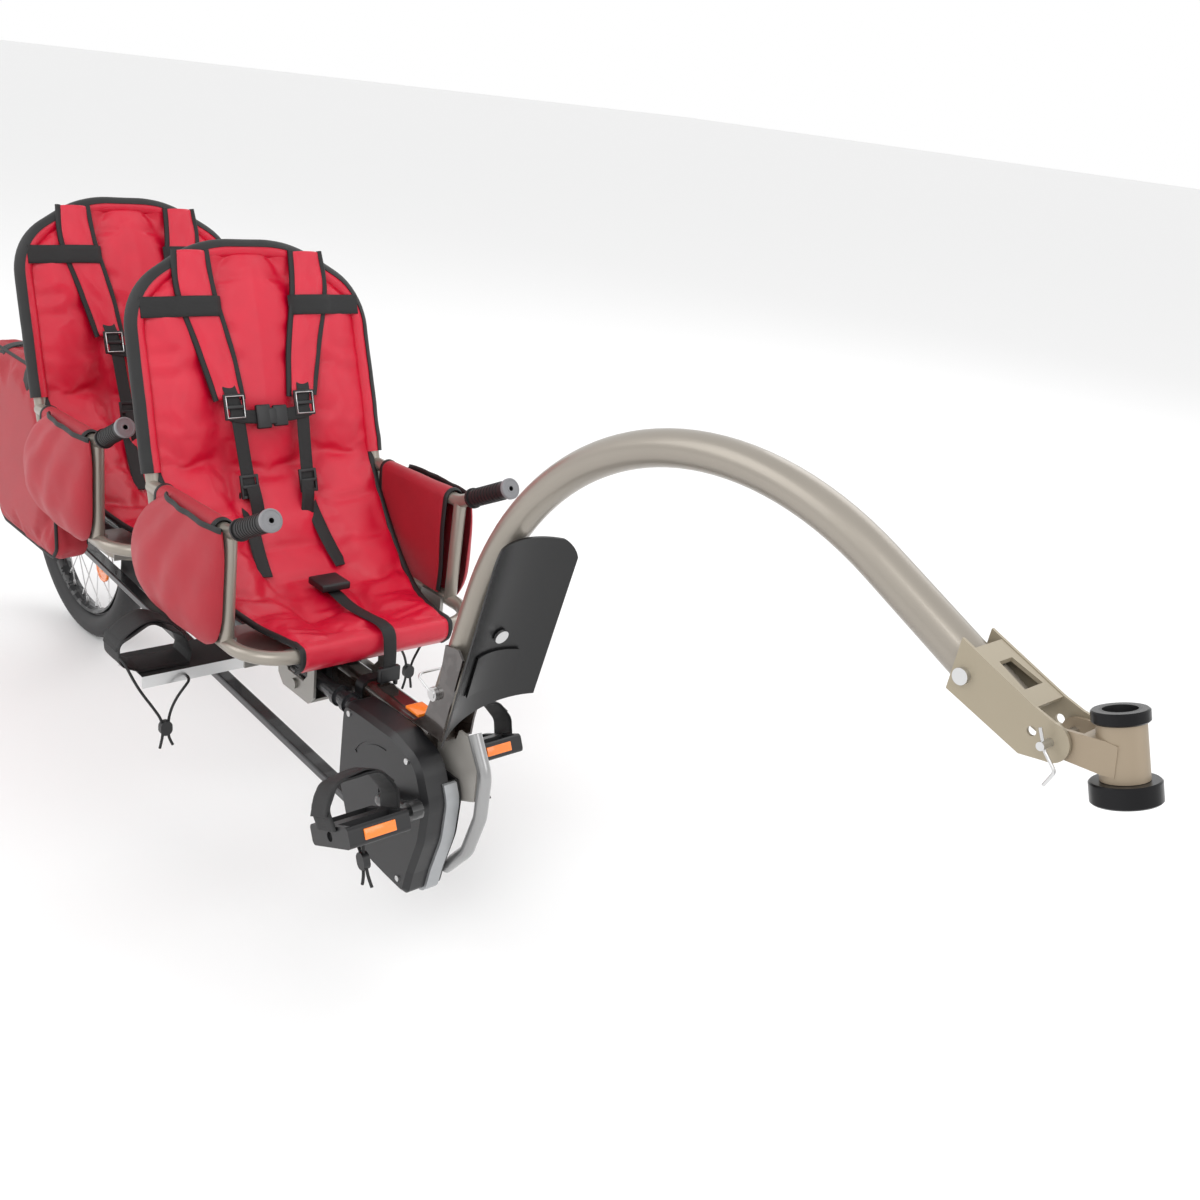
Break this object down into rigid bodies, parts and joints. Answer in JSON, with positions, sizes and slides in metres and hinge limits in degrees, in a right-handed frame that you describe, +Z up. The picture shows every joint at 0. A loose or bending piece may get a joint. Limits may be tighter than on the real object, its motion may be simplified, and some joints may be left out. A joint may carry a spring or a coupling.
{
  "type": "trailer bike",
  "caption": "Recumbent trailer bike: fabric sling seats in a row on a box boom, curved tow arm with a seatpost hitch, one driven rear wheel.",
  "frame": {"origin": "middle of the hitch sleeve, on the axis of the towing bike's seatpost", "axes": "+X forward, the way it is towed; +Y to the rider's left; +Z up"},
  "size_m": [2.2841, 0.506, 0.8421],
  "materials": {
    "boom_gloss": "gloss dark paint",
    "black_plastic": "moulded satin black",
    "champagne_paint": "satin silver-champagne paint",
    "rack_black": "satin black paint",
    "bag_cloth": "matt dark red nylon",
    "steel": "zinc-plated steel",
    "seam_grey": "grey seam profile",
    "tube_plastic": "dark grey plastic tube",
    "pale_paint": "satin pale grey paint",
    "hoop_grey": "satin grey paint",
    "flap_plastic": "satin black sheet",
    "footrest_alloy": "brushed aluminium",
    "black_webbing": "black polyester webbing",
    "elastic_cord": "braided elastic cord",
    "hitch_plate": "beige painted sheet steel",
    "tyre_rubber": "black tyre rubber",
    "rim_black": "black anodised rim",
    "hub_alloy": "turned alloy",
    "crank_black": "satin black paint",
    "lug_dark": "tan and dark painted steel",
    "collar_black": "black anodised collar",
    "grip_rubber": "soft black rubber",
    "red_sling": "shiny red nylon",
    "red_panel": "matt darker red nylon",
    "clamp_steel": "grey painted sheet steel"
  },
  "bodies": {
    "frame": {"boom_rear": "boom_gloss", "boom_front": "boom_gloss", "boom_collar": "black_plastic", "rear_fork": "champagne_paint", "luggage_rack": "rack_black", "panniers": "bag_cloth", "wheel_axle": "steel", "frame_fasteners": "steel", "drive_chain": "steel", "chain_case_right": "black_plastic", "chain_case_left": "black_plastic", "case_seam_strip": "seam_grey", "chain_tubes": "tube_plastic", "crank_hanger": "pale_paint", "crank_bearings": "steel", "guard_hoop": "hoop_grey", "tow_arm": "champagne_paint", "mudflap": "flap_plastic", "footrest": "footrest_alloy", "footrest_straps": "black_webbing", "footrest_cord_right": "elastic_cord", "footrest_cord_left": "elastic_cord", "footrest_locks": "black_plastic", "hitch_plates": "hitch_plate", "hitch_pin": "steel"},
    "rear_wheel": {"tyre": "tyre_rubber", "rim": "rim_black", "spokes": "steel", "hub": "hub_alloy", "hub_bearings": "steel"},
    "freewheel": {"freewheel_cog": "steel"},
    "crankset": {"crank": "crank_black", "chainring": "steel"},
    "pedal_right": {"pedal_cage_right": "black_plastic", "foot_strap_right": "black_webbing", "toe_lock_right": "black_plastic", "toe_cord_right": "elastic_cord"},
    "pedal_left": {"pedal_cage_left": "black_plastic", "foot_strap_left": "black_webbing", "toe_lock_left": "black_plastic", "toe_cord_left": "elastic_cord"},
    "front_seat": {"front_seat_frame": "champagne_paint", "front_back_hoop": "champagne_paint", "front_grips": "grip_rubber", "front_sling": "red_sling", "front_side_panels": "red_panel", "front_harness": "black_webbing", "front_seat_clamp": "clamp_steel", "front_clamp_block": "black_plastic"},
    "rear_seat": {"rear_seat_frame": "champagne_paint", "rear_back_hoop": "champagne_paint", "rear_grips": "grip_rubber", "rear_sling": "red_sling", "rear_side_panels": "red_panel", "rear_harness": "black_webbing", "rear_seat_clamp": "clamp_steel", "rear_clamp_block": "black_plastic"},
    "hitch_receiver": {"receiver": "lug_dark"},
    "seatpost_mount": {"seatpost_bushing": "black_plastic", "seatpost_collars": "collar_black"}
  },
  "joints": [
    {"name": "rear_wheel_spin", "type": "hinge", "parent": "frame", "child": "rear_wheel", "pos_m": [-1.997, 0, -0.447], "axis": [0, 1, 0], "continuous": true},
    {"name": "crank_spin", "type": "hinge", "parent": "frame", "child": "crankset", "pos_m": [-0.849, 0, -0.462], "axis": [0, 1, 0], "continuous": true},
    {"name": "freewheel_spin", "type": "hinge", "parent": "frame", "child": "freewheel", "pos_m": [-1.997, 0, -0.447], "axis": [0, 1, 0], "continuous": true},
    {"name": "pedal_right_spin", "type": "hinge", "parent": "crankset", "child": "pedal_right", "pos_m": [-0.76485, -0.152, -0.43302], "axis": [0, 1, 0], "continuous": true},
    {"name": "pedal_left_spin", "type": "hinge", "parent": "crankset", "child": "pedal_left", "pos_m": [-0.93315, 0.152, -0.49098], "axis": [0, 1, 0], "continuous": true},
    {"name": "front_seat_slide", "type": "slide", "parent": "frame", "child": "front_seat", "axis": [1, 0, 0], "range_m": [-0.03, 0.03]},
    {"name": "rear_seat_slide", "type": "slide", "parent": "frame", "child": "rear_seat", "axis": [1, 0, 0], "range_m": [-0.015, 0.03]},
    {"name": "hitch_pitch", "type": "hinge", "parent": "frame", "child": "hitch_receiver", "pos_m": [-0.045, 0, -0.009], "axis": [0, 1, 0], "range_deg": [-25, 35]},
    {"name": "hitch_yaw", "type": "hinge", "parent": "hitch_receiver", "child": "seatpost_mount", "pos_m": [0, 0, 0], "axis": [-0.342, 0, 0.9397], "range_deg": [-75, 75]}
  ],
  "couplings": [
    {"joint": "freewheel_spin", "follows": "crank_spin", "ratio": 2.25}
  ]
}
